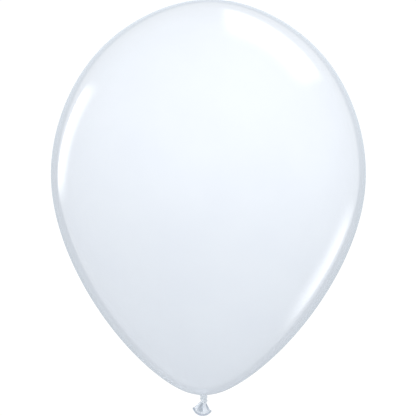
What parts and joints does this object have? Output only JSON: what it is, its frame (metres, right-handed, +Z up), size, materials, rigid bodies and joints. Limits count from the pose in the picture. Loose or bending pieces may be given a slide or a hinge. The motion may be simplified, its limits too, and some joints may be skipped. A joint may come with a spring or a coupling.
{
  "type": "latex balloon",
  "caption": "Inflated round latex balloon, tied off with a knot in its own neck, with a flared tail and a rolled lip below the knot.",
  "frame": {"origin": "middle of the neck between the body and the knot, where a ribbon is tied", "axes": "+Z up through the crown along the balloon's axis, +X to the right as seen from the front, +Y to the back"},
  "size_m": [0.2799, 0.28, 0.3706],
  "materials": {
    "latex_film": "glossy, slightly translucent white",
    "gathered_latex": "glossy, dense where the film is gathered",
    "rolled_latex": "satin, denser where the film is rolled up"
  },
  "bodies": {
    "neck": {"neck": "gathered_latex", "knot_core": "gathered_latex", "knot_turn": "gathered_latex"},
    "nape": {"nape": "gathered_latex"},
    "envelope": {"envelope": "latex_film"},
    "throat": {"tail_throat": "gathered_latex"},
    "tail": {"tail": "latex_film", "rolled_lip": "rolled_latex"}
  },
  "joints": [
    {"name": "envelope_sway", "type": "hinge", "parent": "neck", "child": "nape", "pos_m": [0, 0, 0.0009], "axis": [0, 1, 0], "range_deg": [-20, 20], "stiffness_Nm_per_rad": 0.03},
    {"name": "envelope_nod", "type": "hinge", "parent": "nape", "child": "envelope", "pos_m": [0, 0, 0.0039], "axis": [1, 0, 0], "range_deg": [-20, 20], "stiffness_Nm_per_rad": 0.03},
    {"name": "tail_sway", "type": "hinge", "parent": "neck", "child": "throat", "pos_m": [0, 0, -0.0059], "axis": [0, 1, 0], "range_deg": [-25, 25], "stiffness_Nm_per_rad": 0.0007},
    {"name": "tail_nod", "type": "hinge", "parent": "throat", "child": "tail", "pos_m": [0, 0, -0.0082], "axis": [1, 0, 0], "range_deg": [-25, 25], "stiffness_Nm_per_rad": 0.0007}
  ]
}
